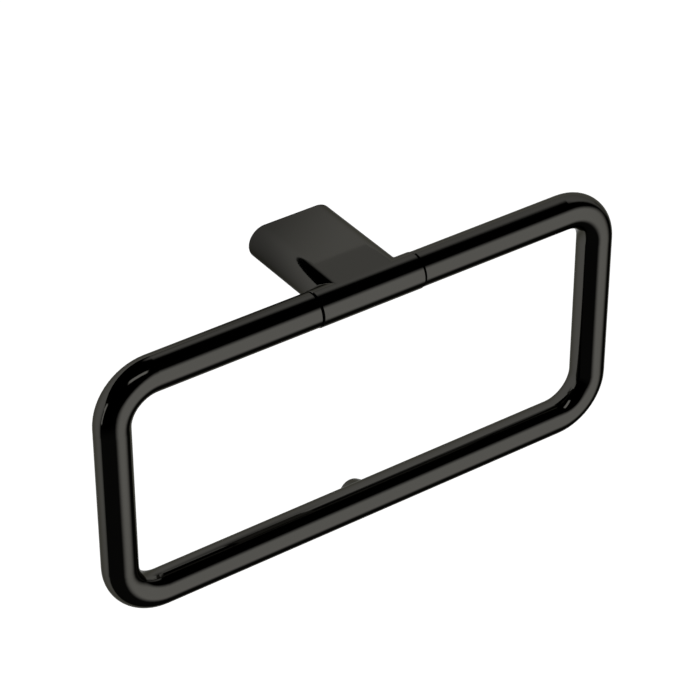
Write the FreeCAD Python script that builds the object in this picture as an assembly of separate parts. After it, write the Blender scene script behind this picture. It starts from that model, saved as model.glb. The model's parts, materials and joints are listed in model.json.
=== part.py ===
import FreeCAD, Part
import math
import os

# Towel ring: a hollow post with a cross bar as its head, and a bent tube that swings
# on a pivot pin through that head. Millimetres. The wall is the plane Y = 0, the ring
# hangs in front of it on the -Y side, +Z is up and X runs along the cross bar.

# Tube of the ring
TUBE_DIAMETER = 14.0
TUBE_WALL = 1.2
RING_WIDTH = 218.0            # between the centre lines of the two upright runs
RING_HEIGHT = 96.8            # between the centre lines of the cross bar and the bottom bar
CORNER_RADIUS = 17.0          # of the tube's centre line
END_CHAMFER = 0.3             # edge break on the tube's ends and the cross bar's ends

# Post and its cross bar, both of one thickness
PIVOT_TO_WALL = 48.5
POST_WIDTH = 37.8
POST_THICKNESS = 14.5
HEAD_OVERHANG = 3.75          # of the cross bar past each side of the post
NECK_FILLET = 1.2             # in the corner between the post's side and the cross bar
POST_WALL = 2.2
HEAD_BACKING = 8.25           # solid metal between the cavity and the cross bar
CAVITY_FLOOR_CHAMFER = 1.5

# Pivot pin
SHAFT_DIAMETER = 6.0
SHAFT_GRIP = 12.0             # length of the pin inside each tube end
SHAFT_CHAMFER = 0.5
RUNNING_CLEARANCE = 0.05      # between the pin and the bush, on the radius
AXIAL_CLEARANCE = 0.1         # between the bush flange and the tube end
SEAT_CLEARANCE = 0.03         # between pieces that are pressed or screwed together

# Bushes in the cross bar
BUSH_WALL = 1.0
BUSH_LENGTH = 10.0            # of the sleeve behind the flange
BUSH_FLANGE_SETBACK = 1.5     # of the flange's rim inside the tube's surface
BUSH_FLANGE_THICKNESS = 1.0
BUSH_FLANGE_PROUD = 0.4       # how far the flange stands out of the cross bar
PIN_RELIEF = 0.5              # round the pin between the two bushes

# Plugs in the tube ends
PLUG_LENGTH = 15.0
PLUG_CHAMFER = 0.6

# Grub screws with a cone point
SCREW_DIAMETER = 4.0
SCREW_RECESS = 0.3            # below the surface that it is screwed into
POINT_DIAMETER = 1.6          # of the flat at the end of the cone
POINT_HEIGHT = 1.0
SOCKET_WIDTH = 2.0            # across the flats of the hexagon
SOCKET_DEPTH = 1.4
GROOVE_DEPTH = 0.7            # in the pivot pin, for the cone point

# Wall bracket
BRACKET_CLEARANCE = 0.15      # inside the post's cavity
BRACKET_DEPTH = 11.0
BRACKET_CHAMFER = 0.3
WALL_SCREW_INSET = 6.55       # of a wall screw from the bracket's end
WALL_SCREW_HOLE = 4.4
COUNTERSINK_DIAMETER = 7.8
POST_SCREW_DISTANCE = 6.0     # of the grub screw from the wall

# Boss and bumper on the back of the bottom bar
BOSS_SETBACK = 0.2            # of the boss's sides inside those of the tube
BOSS_PROUD = 0.6              # beyond the tube's surface
BOSS_ROOT_FILLET = 0.5
BOSS_CHAMFER = 0.3
BOSS_RIM = 1.3                # wall of the boss round the bumper
BUMPER_FLOOR = 0.6            # metal left between the bumper and the tube's bore
BUMPER_PROUD = 0.8            # beyond the boss
BUMPER_CHAMFER = 0.4

ORIGIN = FreeCAD.Vector(0, 0, 0)
X_AXIS = FreeCAD.Vector(1, 0, 0)
Y_AXIS = FreeCAD.Vector(0, 1, 0)
Z_AXIS = FreeCAD.Vector(0, 0, 1)

tube_radius = TUBE_DIAMETER / 2
tube_bore_radius = tube_radius - TUBE_WALL
pivot = FreeCAD.Vector(0, -PIVOT_TO_WALL, 0)
post_radius = POST_THICKNESS / 2
half_head = POST_WIDTH / 2 + HEAD_OVERHANG
mitre = pivot + X_AXIS * (POST_WIDTH / 2 - post_radius)
neck_reach = post_radius + NECK_FILLET
tube_end = half_head + BUSH_FLANGE_PROUD + AXIAL_CLEARANCE

shaft_radius = SHAFT_DIAMETER / 2
bush_bore_radius = shaft_radius + RUNNING_CLEARANCE
bush_radius = bush_bore_radius + BUSH_WALL
flange_radius = tube_radius - BUSH_FLANGE_SETBACK
flange_seat = half_head + BUSH_FLANGE_PROUD - BUSH_FLANGE_THICKNESS

screw_radius = SCREW_DIAMETER / 2
point_radius = POINT_DIAMETER / 2
point_slope = (screw_radius - point_radius) / POINT_HEIGHT
ring_screw_x = tube_end + SHAFT_GRIP / 2

cavity_half_width = POST_WIDTH / 2 - POST_WALL
cavity_half_height = post_radius - POST_WALL
cavity_depth = PIVOT_TO_WALL - post_radius - HEAD_BACKING
bracket_half_width = cavity_half_width - BRACKET_CLEARANCE
bracket_half_height = cavity_half_height - BRACKET_CLEARANCE
wall_screw_x = bracket_half_width - WALL_SCREW_INSET

# The boss points so that its bumper lies flat on the wall when the ring swings back to it
boss_radius = tube_radius - BOSS_SETBACK
boss_reach = tube_radius + BOSS_PROUD
bumper_radius = boss_radius - BOSS_RIM
bumper_seat = tube_bore_radius + BUMPER_FLOOR
bumper_reach = boss_reach + BUMPER_PROUD
swing_to_wall = math.asin((PIVOT_TO_WALL - bumper_reach) / RING_HEIGHT)
boss_axis = FreeCAD.Vector(0, math.cos(swing_to_wall), -math.sin(swing_to_wall))
bottom_bar = pivot - Z_AXIS * RING_HEIGHT


def point(x, y=0.0, z=0.0):
    return FreeCAD.Vector(x, y, z)


def rod(radius, start, end):
    """A round rod between two points."""
    along = end - start
    return Part.makeCylinder(radius, along.Length, start, along)


def cone(start_radius, end_radius, start, end):
    """A round taper between two points."""
    along = end - start
    return Part.makeCone(start_radius, end_radius, along.Length, start, along)


def arc(start, middle, end):
    return Part.Arc(start, middle, end).toShape()


def circle_edges(shape, radius, centre):
    """The circular edges of this radius that lie round this centre."""
    def matches(edge):
        curve = edge.Curve
        if not isinstance(curve, Part.Circle):
            return False
        return abs(curve.Radius - radius) < 1e-4 and (curve.Center - centre).Length < 1e-4
    return [edge for edge in shape.Edges if matches(edge)]


def edge_break(radius, face, outward):
    """What the chamfer takes off the outer edge of a round bar's end."""
    start = face - outward * END_CHAMFER
    return rod(2 * radius, start, face).cut(cone(radius, radius - END_CHAMFER, start, face))


def mirrored(shape):
    """The same shape on the other side of the middle plane."""
    return shape.mirror(ORIGIN, X_AXIS)


def stadium_block(half_width, half_height, depth):
    """A block with fully round ends that stands out of the wall."""
    flat = half_width - half_height
    low_left = point(-flat, 0, -half_height)
    low_right = point(flat, 0, -half_height)
    high_right = point(flat, 0, half_height)
    high_left = point(-flat, 0, half_height)
    outline = Part.Wire([
        Part.makeLine(low_left, low_right),
        arc(low_right, point(half_width), high_right),
        Part.makeLine(high_right, high_left),
        arc(high_left, point(-half_width), low_left),
    ])
    return Part.Face(outline).extrude(Y_AXIS * -depth)


def front_edges(block, depth):
    """The edges round the front face of a block that stands out of the wall."""
    return [edge for edge in block.Edges if abs(edge.BoundBox.YMax + depth) < 1e-4]


def neck_wedge():
    """The wedge of space that the right neck's fillet spans, from the post's side to the bar."""
    low = mitre - Z_AXIS * neck_reach
    on_post = low + (X_AXIS * post_radius + Y_AXIS * neck_reach) * 2
    on_bar = low + (X_AXIS * neck_reach + Y_AXIS * post_radius) * 2
    outline = Part.makePolygon([low, on_post, on_bar, low])
    return Part.Face(outline).extrude(Z_AXIS * 2 * neck_reach)


def filled_neck():
    """The metal in that wedge.

    The post's round side meets the cross bar at a mitre. A ball that is rolled along the corner
    keeps its centre on half an ellipse in the plane of the mitre. The metal reaches out to that
    ellipse, less the track of the ball, which leaves the fillet.
    """
    diagonal = X_AXIS + Y_AXIS
    across = X_AXIS - Y_AXIS
    ellipse = Part.Ellipse(mitre + diagonal * neck_reach, mitre + Z_AXIS * neck_reach, mitre)
    path = ellipse.toShape(-math.pi / 2, math.pi / 2)
    start = path.valueAt(path.FirstParameter)
    end = path.valueAt(path.LastParameter)
    ball = Part.Wire(Part.makeCircle(NECK_FILLET, start, path.tangentAt(path.FirstParameter)))
    track = Part.Wire(path).makePipeShell([ball], True, True)
    half_disc = Part.Face(Part.Wire([path, Part.makeLine(end, start)]))
    half_disc.translate(across * -neck_reach)
    block = half_disc.extrude(across * 2 * neck_reach)
    return neck_wedge().common(block).cut(track)


def grub_screw_hole(x, y, bottom, top):
    """Tapped hole between two heights."""
    return rod(screw_radius + SEAT_CLEARANCE, point(x, y, bottom), point(x, y, top))


def make_post():
    bar = rod(post_radius, pivot - X_AXIS * half_head, pivot + X_AXIS * half_head)
    post = stadium_block(POST_WIDTH / 2, post_radius, PIVOT_TO_WALL).fuse(bar).removeSplitter()
    wedge = neck_wedge()
    neck = filled_neck()
    post = post.cut([wedge, mirrored(wedge)]).fuse([neck, mirrored(neck)]).removeSplitter()
    cavity = stadium_block(cavity_half_width, cavity_half_height, cavity_depth)
    cavity = cavity.makeChamfer(CAVITY_FLOOR_CHAMFER, front_edges(cavity, cavity_depth))
    cuts = [cavity]
    cuts.append(rod(shaft_radius + PIN_RELIEF, pivot - X_AXIS * half_head, pivot + X_AXIS * half_head))
    for outward in (-X_AXIS, X_AXIS):
        face = pivot + outward * half_head
        seat = pivot + outward * flange_seat
        cuts.append(rod(flange_radius + SEAT_CLEARANCE, face, seat))
        cuts.append(rod(bush_radius + SEAT_CLEARANCE, face, seat - outward * BUSH_LENGTH))
        cuts.append(edge_break(post_radius, face, outward))
    cuts.append(grub_screw_hole(0, -POST_SCREW_DISTANCE, -POST_THICKNESS, 0))
    return post.cut(cuts).removeSplitter()


def make_bracket():
    bracket = stadium_block(bracket_half_width, bracket_half_height, BRACKET_DEPTH)
    bracket = bracket.makeChamfer(BRACKET_CHAMFER, front_edges(bracket, BRACKET_DEPTH))
    cuts = []
    hole_radius = WALL_SCREW_HOLE / 2
    head_radius = COUNTERSINK_DIAMETER / 2
    for x in (-wall_screw_x, wall_screw_x):
        front = point(x, -BRACKET_DEPTH)
        cuts.append(rod(hole_radius, front, point(x)))
        cuts.append(cone(head_radius, hole_radius, front, front + Y_AXIS * (head_radius - hole_radius)))
    dimple = point(0, -POST_SCREW_DISTANCE, -bracket_half_height)
    cuts.append(cone(screw_radius, point_radius, dimple, dimple + Z_AXIS * POINT_HEIGHT))
    return bracket.cut(cuts)


def make_grub_screw(x, y, surface, tip):
    """A grub screw driven through the surface below, whose cone point ends at the height tip."""
    start = point(x, y, surface + SCREW_RECESS)
    shoulder = point(x, y, tip - POINT_HEIGHT)
    screw = rod(screw_radius, start, shoulder)
    screw = screw.fuse(cone(screw_radius, point_radius, shoulder, point(x, y, tip)))
    corner_radius = SOCKET_WIDTH / math.sqrt(3)
    corners = []
    for step in range(7):
        turn = math.radians(60 * step)
        corners.append(start + point(corner_radius * math.cos(turn), corner_radius * math.sin(turn)))
    socket = Part.Face(Part.makePolygon(corners)).extrude(Z_AXIS * SOCKET_DEPTH)
    return screw.cut(socket)


def make_bush():
    """Right bush: a flanged sleeve."""
    seat = pivot + X_AXIS * flange_seat
    inner_end = seat - X_AXIS * BUSH_LENGTH
    outer_end = seat + X_AXIS * BUSH_FLANGE_THICKNESS
    bush = rod(bush_radius, inner_end, outer_end).fuse(rod(flange_radius, seat, outer_end))
    return bush.cut(rod(bush_bore_radius, inner_end, outer_end))


def make_shaft():
    """Pivot pin, turned with a groove near each end for the cone points of the grub screws."""
    half_length = tube_end + SHAFT_GRIP
    groove_floor = shaft_radius - GROOVE_DEPTH
    floor_half = point_radius
    mouth_half = point_radius + GROOVE_DEPTH * point_slope
    outline = [
        (0, 0),
        (0, shaft_radius),
        (ring_screw_x - mouth_half, shaft_radius),
        (ring_screw_x - floor_half, groove_floor),
        (ring_screw_x + floor_half, groove_floor),
        (ring_screw_x + mouth_half, shaft_radius),
        (half_length - SHAFT_CHAMFER, shaft_radius),
        (half_length, shaft_radius - SHAFT_CHAMFER),
        (half_length, 0),
        (0, 0),
    ]
    section = Part.Face(Part.makePolygon([pivot + point(x, 0, z) for x, z in outline]))
    half = section.revolve(pivot, X_AXIS, 360)
    return half.fuse(mirrored(half)).removeSplitter()


def ring_path():
    """Centre line of the tube, from its right end round to its left end."""
    right = RING_WIDTH / 2
    inner = right - CORNER_RADIUS
    cut_corner = CORNER_RADIUS * (1 - math.sqrt(0.5))
    upper = [
        pivot + point(tube_end),
        pivot + point(inner),
        pivot + point(right - cut_corner, 0, -cut_corner),
        pivot + point(right, 0, -CORNER_RADIUS),
    ]
    lower = [
        pivot + point(right, 0, CORNER_RADIUS - RING_HEIGHT),
        pivot + point(right - cut_corner, 0, cut_corner - RING_HEIGHT),
        pivot + point(inner, 0, -RING_HEIGHT),
    ]
    half = [
        Part.makeLine(upper[0], upper[1]),
        arc(upper[1], upper[2], upper[3]),
        Part.makeLine(upper[3], lower[0]),
        arc(lower[0], lower[1], lower[2]),
    ]
    bottom = Part.makeLine(lower[2], point(-lower[2].x, lower[2].y, lower[2].z))
    other_half = [mirrored(edge) for edge in reversed(half)]
    return Part.Wire(Part.__sortEdges__(half + [bottom] + other_half))


def swept(path, radius):
    """A round bar along the ring's centre line."""
    circle = Part.Wire(Part.makeCircle(radius, pivot + X_AXIS * tube_end, X_AXIS))
    return path.makePipeShell([circle], True, False)


def root_edges(body):
    """The curve along which the boss rises out of the round tube."""
    def matches(edge):
        if isinstance(edge.Curve, (Part.Line, Part.Circle)):
            return False
        return (edge.CenterOfMass - bottom_bar).Length < TUBE_DIAMETER
    return [edge for edge in body.Edges if matches(edge)]


def make_ring():
    boss_face = bottom_bar + boss_axis * boss_reach
    boss = rod(boss_radius, bottom_bar, boss_face)
    boss = boss.makeChamfer(BOSS_CHAMFER, circle_edges(boss, boss_radius, boss_face))
    path = ring_path()
    body = swept(path, tube_radius).fuse(boss)
    body = body.makeFillet(BOSS_ROOT_FILLET, root_edges(body))

    seat = bottom_bar + boss_axis * bumper_seat
    cuts = [swept(path, tube_bore_radius), rod(bumper_radius + SEAT_CLEARANCE, seat, boss_face)]
    for side in (-1, 1):
        inward = X_AXIS * -side
        cuts.append(edge_break(tube_radius, pivot - inward * tube_end, inward))
        cuts.append(grub_screw_hole(side * ring_screw_x, -PIVOT_TO_WALL, -TUBE_DIAMETER, -shaft_radius))
    return body.cut(cuts)


def make_plug():
    """Right plug, flush with the tube's end."""
    start = pivot + X_AXIS * tube_end
    end = start + X_AXIS * PLUG_LENGTH
    radius = tube_bore_radius - SEAT_CLEARANCE
    plug = rod(radius, start, end)
    plug = plug.makeChamfer(PLUG_CHAMFER, circle_edges(plug, radius, end))
    bore = rod(shaft_radius + SEAT_CLEARANCE, start, end)
    return plug.cut([bore, grub_screw_hole(ring_screw_x, -PIVOT_TO_WALL, -TUBE_DIAMETER, 0)])


def make_bumper():
    seat = bottom_bar + boss_axis * bumper_seat
    face = bottom_bar + boss_axis * bumper_reach
    bumper = rod(bumper_radius, seat, face)
    return bumper.makeChamfer(BUMPER_CHAMFER, circle_edges(bumper, bumper_radius, face))


bush_right = make_bush()
plug_right = make_plug()
post_screw_tip = POINT_HEIGHT - bracket_half_height - SEAT_CLEARANCE
ring_screw_tip = GROOVE_DEPTH - shaft_radius - SEAT_CLEARANCE

parts = {
    "post": make_post(),
    "wall_bracket": make_bracket(),
    "post_screw": make_grub_screw(0, -POST_SCREW_DISTANCE, -post_radius, post_screw_tip),
    "bush_right": bush_right,
    "bush_left": mirrored(bush_right),
    "shaft": make_shaft(),
    "ring": make_ring(),
    "plug_right": plug_right,
    "plug_left": mirrored(plug_right),
    "ring_screw_right": make_grub_screw(ring_screw_x, -PIVOT_TO_WALL, -tube_radius, ring_screw_tip),
    "ring_screw_left": make_grub_screw(-ring_screw_x, -PIVOT_TO_WALL, -tube_radius, ring_screw_tip),
    "bumper": make_bumper(),
}

os.makedirs("parts", exist_ok=True)
for name, shape in parts.items():
    shape.exportStep("parts/" + name + ".step")
    print(name, "valid", shape.isValid(), "solids", len(shape.Solids), "volume", round(shape.Volume, 1))
print("swing to the wall, degrees:", round(math.degrees(swing_to_wall), 2))
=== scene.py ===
import json
import math

import bmesh
import bpy
from mathutils import Matrix, Vector


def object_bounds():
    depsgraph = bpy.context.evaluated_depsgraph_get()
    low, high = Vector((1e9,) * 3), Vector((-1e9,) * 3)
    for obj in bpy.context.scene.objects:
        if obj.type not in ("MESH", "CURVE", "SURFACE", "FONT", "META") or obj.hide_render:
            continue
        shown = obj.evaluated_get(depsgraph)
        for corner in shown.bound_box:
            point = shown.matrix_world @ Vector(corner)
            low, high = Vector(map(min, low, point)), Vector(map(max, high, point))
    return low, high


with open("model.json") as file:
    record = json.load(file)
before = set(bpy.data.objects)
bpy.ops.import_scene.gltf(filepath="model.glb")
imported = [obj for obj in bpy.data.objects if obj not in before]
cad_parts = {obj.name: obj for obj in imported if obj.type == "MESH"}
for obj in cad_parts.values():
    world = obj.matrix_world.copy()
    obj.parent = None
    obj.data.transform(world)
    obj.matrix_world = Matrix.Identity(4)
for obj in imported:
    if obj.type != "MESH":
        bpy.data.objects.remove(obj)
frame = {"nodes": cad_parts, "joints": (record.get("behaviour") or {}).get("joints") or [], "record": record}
cad_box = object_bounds()

# A towel ring in glossy black chrome: a flat post with a cross bar as its head, and a bent
# tube that swings on a pin through that head. Metres, degrees and linear colours, unless a
# comment says otherwise. An azimuth of 0 is +Y, into the wall, and 90 is +X. An elevation is
# above the horizon.
WHITE = (1.0, 1.0, 1.0, 1.0)
BLACK = (0.0, 0.0, 0.0, 1.0)

# Camera
LOOK_AZIMUTH = 34.98
LOOK_ELEVATION = -35.04
CAMERA_DISTANCE = 1.0815      # from the point that it aims at
CAMERA_AIM = (-0.0065, 0.0, -0.0244)    # from the pivot that the ring hangs on
LENS = 150.1                  # millimetres
SENSOR = 36.0                 # millimetres

# Floor, too far below the part to take its shadow and white by its own glow
FLOOR_DROP = 0.9
FLOOR_HALF_WIDTH = 15.0
FLOOR_COLOUR = (0.93, 0.93, 0.93, 1.0)
FLOOR_ROUGHNESS = 0.9
FLOOR_GLOW = 1.0

# Soft panels of the studio, which the gloss reflects. Each has its middle (azimuth,
# elevation), its half width and half height, the width of its soft edge and its brightness.
# The edge of a rounded panel is a share of the panel's size.
ROUNDED_FRONT_PANEL = ((150.0, -11.2), (43.0, 36.2), 0.60, 0.88)
LEFT_STRIP = ((-83.0, 2.0), (4.5, 16.0), 3.0, 1.0)
BACK_RIGHT_PANEL = ((62.0, 20.0), (30.0, 35.5), 12.0, 0.47)
TOP_SPOT = ((-164.0, 60.5), (17.0, 5.5), 4.0, 1.0)

# Faint light from below, full up to one height of the unit direction and none from another
BOUNCE_BRIGHTNESS = 0.02
BOUNCE_FULL_HEIGHT = -0.6
BOUNCE_NO_HEIGHT = -0.3

# Glowing card just behind the wall's plane, seen only in the gloss: a painted reflection of the
# lit wall. Its glow is darker round the post's foot, as a painted shade of the post on the wall,
# and fades towards its sides and its lower edge.
CARD_SETBACK = 0.0015
CARD_TOP = 0.0345
CARD_REACH_DOWN = 0.6
CARD_LOWER_FADE = 0.35
CARD_HALF_WIDTH = 0.5
CARD_SIDE_FADE = 0.32
CARD_BRIGHTNESS = 0.62
PAINTED_SHADE_BRIGHTNESS = 0.34       # share of the card's glow, at the middle of the painted shade
PAINTED_SHADE_MIDDLE = (-0.022, 0.0, -0.008)
PAINTED_SHADE_REACH = 0.065

# Key light, from the front on the right
KEY_LIGHT_POWER = 12.0        # watts
KEY_LIGHT_SIZE = 1.6
KEY_LIGHT_PLACE = (0.9, -1.5, 0.4)

# Finishes. Each has its dark and its pale shade, its roughness with the spread of it, and
# the strength of its bump with the depth.
CHROME = (((0.0940, 0.0916, 0.0832, 1), (0.1000, 0.0975, 0.0885, 1)), (0.07, 0.03), (0.02, 2e-4))
PLASTIC = (((0.008, 0.008, 0.008, 1), (0.014, 0.014, 0.014, 1)), (0.50, 0.10), (0.10, 1e-4))
RUBBER = (((0.010, 0.010, 0.010, 1), (0.020, 0.020, 0.019, 1)), (0.75, 0.15), (0.20, 1e-4))
ZINC = (((0.42, 0.42, 0.43, 1), (0.55, 0.55, 0.56, 1)), (0.45, 0.20), (0.15, 1e-4))
PIN_STEEL = (((0.50, 0.50, 0.49, 1), (0.60, 0.60, 0.59, 1)), (0.22, 0.12), (0.06, 1e-4))
SCREW_STEEL = (((0.020, 0.020, 0.021, 1), (0.045, 0.044, 0.043, 1)), (0.38, 0.15), (0.08, 1e-4))
ALUMINIUM = (((0.52, 0.52, 0.53, 1), (0.66, 0.66, 0.67, 1)), (0.30, 0.15), (0.12, 1e-4))
CHROME_EDGE = (0.42, 0.42, 0.40, 1.0)    # tint of the chrome where it is seen edge on

# Patterns in the finishes, each with its fineness per metre and its detail
CHROME_CLOUDS = (30.0, 2.0)
CHROME_HAZE = (160.0, 3.0)
CHROME_RIPPLE = (900.0, 2.0)
PLASTIC_GRAIN = (1500.0, 2.0)
RUBBER_GRAIN = (2500.0, 3.0)
ZINC_CLOUDS = (120.0, 4.0)
ZINC_GRAIN = (1800.0, 3.0)
GRINDING_MARKS = (6000.0, 3.0)
BLACKENING_CLOUDS = (500.0, 3.0)
BLACKENING_GRAIN = (2500.0, 2.0)
TURNING_MARKS = (2500.0, 3.0)


class Value:
    """A number from a node's output, so that sums of such numbers are written as expressions."""

    def __init__(self, nodes, socket):
        self.nodes = nodes
        self.socket = socket

    def maths(self, operation, *values):
        inputs = dict(enumerate(values))
        return self.nodes.value("ShaderNodeMath", {"operation": operation}, inputs)

    def __add__(self, other):
        return self.maths("ADD", self, other)

    __radd__ = __add__

    def __sub__(self, other):
        return self.maths("SUBTRACT", self, other)

    def __rsub__(self, other):
        return self.maths("SUBTRACT", other, self)

    def __mul__(self, other):
        return self.maths("MULTIPLY", self, other)

    __rmul__ = __mul__

    def angle_from(self, other):
        """The angle in degrees of the point (other, self)."""
        return self.maths("ARCTAN2", self, other) * math.degrees(1)

    def size(self):
        return self.maths("ABSOLUTE", self)

    def root(self):
        return self.maths("SQRT", self)


class Nodes:
    """The nodes of one finish, or of the studio."""

    def __init__(self, tree):
        self.tree = tree
        tree.nodes.clear()

    def node(self, kind, settings=None, inputs=None):
        node = self.tree.nodes.new(kind)
        for name, setting in (settings or {}).items():
            setattr(node, name, setting)
        for name, value in (inputs or {}).items():
            value = getattr(value, "socket", value)
            if isinstance(value, bpy.types.NodeSocket):
                self.tree.links.new(value, node.inputs[name])
            else:
                node.inputs[name].default_value = value
        return node

    def value(self, kind, settings=None, inputs=None, output=0):
        return Value(self, self.node(kind, settings, inputs).outputs[output])

    def step(self, value, low, high):
        """0 up to low, 1 from high, and soft between them."""
        settings = {"interpolation_type": "SMOOTHSTEP"}
        inputs = {"Value": value, "From Min": low, "From Max": high}
        return self.value("ShaderNodeMapRange", settings, inputs)

    def within(self, value, limit, edge):
        """1 below a limit and 0 above it, with a soft edge across it."""
        return 1 - self.step(value, limit - edge / 2, limit + edge / 2)


def direction(azimuth, elevation):
    """The unit vector that points there."""
    a = math.radians(azimuth)
    e = math.radians(elevation)
    return Vector((math.sin(a) * math.cos(e), math.cos(a) * math.cos(e), math.sin(e)))


def angles_from(nodes, way, azimuth, elevation):
    """How far a direction lies to the side of a middle and above or below it."""
    middle = direction(azimuth, elevation)
    side = direction(azimuth + 90, 0)
    above = side.cross(middle)

    def along(axis):
        settings = {"operation": "DOT_PRODUCT"}
        return nodes.value("ShaderNodeVectorMath", settings, {0: way, 1: axis}, "Value")

    depth = along(middle)
    across = along(side).angle_from(depth).size()
    upward = along(above).angle_from(depth).size()
    return across, upward


def square_panel(nodes, way, panel):
    """Brightness of a panel with straight sides, for a direction of light."""
    middle, (half_width, half_height), edge, brightness = panel
    across, upward = angles_from(nodes, way, *middle)
    inside = nodes.within(across, half_width, edge) * nodes.within(upward, half_height, edge)
    return inside * brightness


def rounded_panel(nodes, way, panel):
    """Brightness of a panel with an oval outline, for a direction of light."""
    middle, (half_width, half_height), edge, brightness = panel
    across, upward = angles_from(nodes, way, *middle)
    across = across * (1 / half_width)
    upward = upward * (1 / half_height)
    reach = (across * across + upward * upward).root()
    return nodes.within(reach, 1, edge) * brightness


def make_studio():
    """The surroundings: dark, with soft panels that the gloss reflects, and a white backdrop."""
    world = bpy.data.worlds.new("studio")
    bpy.context.scene.world = world
    world.use_nodes = True
    nodes = Nodes(world.node_tree)
    way = nodes.node("ShaderNodeTexCoord").outputs["Generated"]
    light = rounded_panel(nodes, way, ROUNDED_FRONT_PANEL)
    for panel in (LEFT_STRIP, BACK_RIGHT_PANEL, TOP_SPOT):
        light = light + square_panel(nodes, way, panel)
    height = nodes.value("ShaderNodeSeparateXYZ", None, {0: way}, "Z")
    bounce = 1 - nodes.step(height, BOUNCE_FULL_HEIGHT, BOUNCE_NO_HEIGHT)
    light = light + bounce * BOUNCE_BRIGHTNESS
    studio = nodes.node("ShaderNodeBackground", None, {"Color": WHITE, "Strength": light})
    backdrop = nodes.node("ShaderNodeBackground", None, {"Color": WHITE})
    seen = nodes.node("ShaderNodeLightPath").outputs["Is Camera Ray"]
    shaders = {0: seen, 1: studio.outputs[0], 2: backdrop.outputs[0]}
    mixed = nodes.node("ShaderNodeMixShader", None, shaders)
    nodes.node("ShaderNodeOutputWorld", None, {"Surface": mixed.outputs[0]})


def make_finish(name, shader_inputs):
    """A finish from a function that gives the shader's inputs on its nodes."""
    material = bpy.data.materials.new(name)
    material.use_nodes = True
    nodes = Nodes(material.node_tree)
    shader = nodes.node("ShaderNodeBsdfPrincipled", None, shader_inputs(nodes))
    nodes.node("ShaderNodeOutputMaterial", None, {"Surface": shader.outputs[0]})
    return material


def place(nodes):
    return nodes.node("ShaderNodeTexCoord").outputs["Object"]


def coordinate(nodes, axis):
    return nodes.value("ShaderNodeSeparateXYZ", None, {0: place(nodes)}, axis)


def noise(nodes, where, pattern):
    fineness, detail = pattern
    inputs = {"Vector": where, "Scale": fineness, "Detail": detail}
    return nodes.value("ShaderNodeTexNoise", None, inputs, "Fac")


def clouds(nodes, pattern):
    """Noise that is the same in all directions, as coarse clouds or as fine grain."""
    return noise(nodes, place(nodes), pattern)


def lathe_marks(nodes, pattern):
    """Fine rings round the X axis, as a turned or ground round piece has."""
    inputs = {0: place(nodes), 1: (1, 0, 0)}
    along = nodes.node("ShaderNodeVectorMath", {"operation": "MULTIPLY"}, inputs)
    return noise(nodes, along.outputs[0], pattern)


def mixed_colour(nodes, share, first, second):
    """A colour between two. The mix node's sockets 6 and 7 and its output 2 hold colours."""
    inputs = {0: share, 6: first, 7: second}
    return nodes.node("ShaderNodeMix", {"data_type": "RGBA"}, inputs).outputs[2]


def surface(nodes, finish, shade, haze, grain):
    """A finish's colour, roughness and bump, each from a pattern of its own."""
    (dark, pale), (roughness, spread), (strength, depth) = finish
    bump = {"Height": grain, "Strength": strength, "Distance": depth}
    return {
        "Base Color": mixed_colour(nodes, shade, dark, pale),
        "Roughness": roughness + (haze - 0.5) * spread,
        "Normal": nodes.node("ShaderNodeBump", None, bump).outputs[0],
    }


def metal(nodes, finish, shade, haze, grain):
    return {"Metallic": 1.0, **surface(nodes, finish, shade, haze, grain)}


def black_chrome(nodes):
    patterns = [clouds(nodes, each) for each in (CHROME_CLOUDS, CHROME_HAZE, CHROME_RIPPLE)]
    return {"Specular Tint": CHROME_EDGE, **metal(nodes, CHROME, *patterns)}


def black_plastic(nodes):
    grain = clouds(nodes, PLASTIC_GRAIN)
    return surface(nodes, PLASTIC, grain, grain, grain)


def black_rubber(nodes):
    grain = clouds(nodes, RUBBER_GRAIN)
    return surface(nodes, RUBBER, grain, grain, grain)


def bare_zinc(nodes):
    grain = clouds(nodes, ZINC_GRAIN)
    return metal(nodes, ZINC, clouds(nodes, ZINC_CLOUDS), grain, grain)


def ground_steel(nodes):
    marks = lathe_marks(nodes, GRINDING_MARKS)
    return metal(nodes, PIN_STEEL, marks, marks, marks)


def blackened_steel(nodes):
    shade = clouds(nodes, BLACKENING_CLOUDS)
    return metal(nodes, SCREW_STEEL, shade, shade, clouds(nodes, BLACKENING_GRAIN))


def turned_aluminium(nodes):
    marks = lathe_marks(nodes, TURNING_MARKS)
    return metal(nodes, ALUMINIUM, marks, marks, marks)


FINISH_OF_SLOT = {
    "black_chrome": black_chrome,
    "black_plastic": black_plastic,
    "black_rubber": black_rubber,
    "bare_zinc": bare_zinc,
    "screw_steel": blackened_steel,
    "pin_steel": ground_steel,
    "plug_metal": turned_aluminium,
}


def dress_pieces():
    """Gives each piece the finish of its material slot."""
    finishes = {slot: make_finish(slot, inputs) for slot, inputs in FINISH_OF_SLOT.items()}
    for piece in frame["record"]["subparts"]:
        mesh = frame["nodes"][piece["node"]].data
        mesh.materials.clear()
        mesh.materials.append(finishes[piece["material_slot"]])


def stage_sheet(name, half_width, half_depth, turn, middle, finish):
    """A flat piece of the studio: it lies flat, is turned about X and is then put in its place."""
    mesh = bpy.data.meshes.new(name)
    shape = bmesh.new()
    bmesh.ops.create_grid(shape, x_segments=1, y_segments=1, size=1)
    bmesh.ops.scale(shape, verts=shape.verts, vec=(half_width, half_depth, 1))
    bmesh.ops.rotate(shape, verts=shape.verts, matrix=Matrix.Rotation(math.radians(turn), 3, "X"))
    bmesh.ops.translate(shape, verts=shape.verts, vec=middle)
    shape.to_mesh(mesh)
    shape.free()
    mesh.materials.append(finish)
    sheet = bpy.data.objects.new(name, mesh)
    bpy.context.scene.collection.objects.link(sheet)
    sheet.visible_diffuse = False
    return sheet


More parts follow.
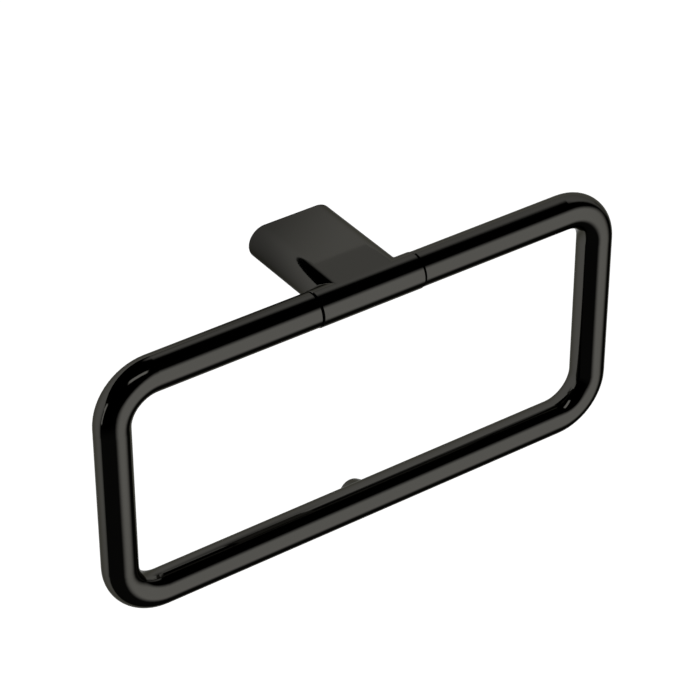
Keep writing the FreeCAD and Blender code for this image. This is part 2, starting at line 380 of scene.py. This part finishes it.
def floor_paint(nodes):
    return {
        "Base Color": FLOOR_COLOUR,
        "Roughness": FLOOR_ROUGHNESS,
        "Emission Color": FLOOR_COLOUR,
        "Emission Strength": FLOOR_GLOW,
    }


def make_floor():
    paint = make_finish("floor_paint", floor_paint)
    middle = (0, 0, cad_box[0].z - FLOOR_DROP)
    floor = stage_sheet("floor", FLOOR_HALF_WIDTH, FLOOR_HALF_WIDTH, 0, middle, paint)
    floor.visible_glossy = False


def card_glow(nodes):
    # Glow of the card: a painted reflection of the lit wall, with a painted shade round the post's foot
    inputs = {0: place(nodes), 1: PAINTED_SHADE_MIDDLE}
    reach = nodes.value("ShaderNodeVectorMath", {"operation": "DISTANCE"}, inputs, "Value")
    # Painted shade: the glow is dimmest at the shade's middle and full beyond its reach
    share = PAINTED_SHADE_BRIGHTNESS + nodes.step(reach, 0.0, PAINTED_SHADE_REACH) * (1 - PAINTED_SHADE_BRIGHTNESS)
    height = coordinate(nodes, "Z")
    share = share * nodes.step(height, -CARD_REACH_DOWN, CARD_LOWER_FADE - CARD_REACH_DOWN)
    across = coordinate(nodes, "X").size()
    share = share * (1 - nodes.step(across, CARD_HALF_WIDTH - CARD_SIDE_FADE, CARD_HALF_WIDTH))
    return {
        "Base Color": BLACK,
        "Emission Color": mixed_colour(nodes, share, BLACK, WHITE),
        "Emission Strength": CARD_BRIGHTNESS,
    }


def make_wall_card():
    glow = make_finish("card_glow", card_glow)
    half_height = (CARD_TOP + CARD_REACH_DOWN) / 2
    middle = (0, CARD_SETBACK, CARD_TOP - half_height)
    card = stage_sheet("wall_card", CARD_HALF_WIDTH, half_height, 90, middle, glow)
    card.visible_camera = False
    card.visible_shadow = False


def make_key_light():
    light = bpy.data.lights.new("key_light", "AREA")
    light.energy = KEY_LIGHT_POWER
    light.size = KEY_LIGHT_SIZE
    lamp = bpy.data.objects.new("key_light", light)
    lamp.location = KEY_LIGHT_PLACE
    lamp.rotation_euler = (-Vector(KEY_LIGHT_PLACE)).to_track_quat("-Z", "Y").to_euler()
    lamp.visible_camera = False
    lamp.visible_glossy = False
    bpy.context.scene.collection.objects.link(lamp)


def make_camera():
    pivot = Vector(frame["joints"][0]["pos_m"])
    look = direction(LOOK_AZIMUTH, LOOK_ELEVATION)
    camera = bpy.data.objects.new("camera", bpy.data.cameras.new("camera"))
    camera.data.lens = LENS
    camera.data.sensor_width = SENSOR
    camera.location = pivot + Vector(CAMERA_AIM) - look * CAMERA_DISTANCE
    camera.rotation_euler = look.to_track_quat("-Z", "Y").to_euler()
    bpy.context.scene.collection.objects.link(camera)
    bpy.context.scene.camera = camera


dress_pieces()
make_floor()
make_wall_card()
make_studio()
make_key_light()
make_camera()
bpy.context.scene.view_settings.view_transform = "Standard"
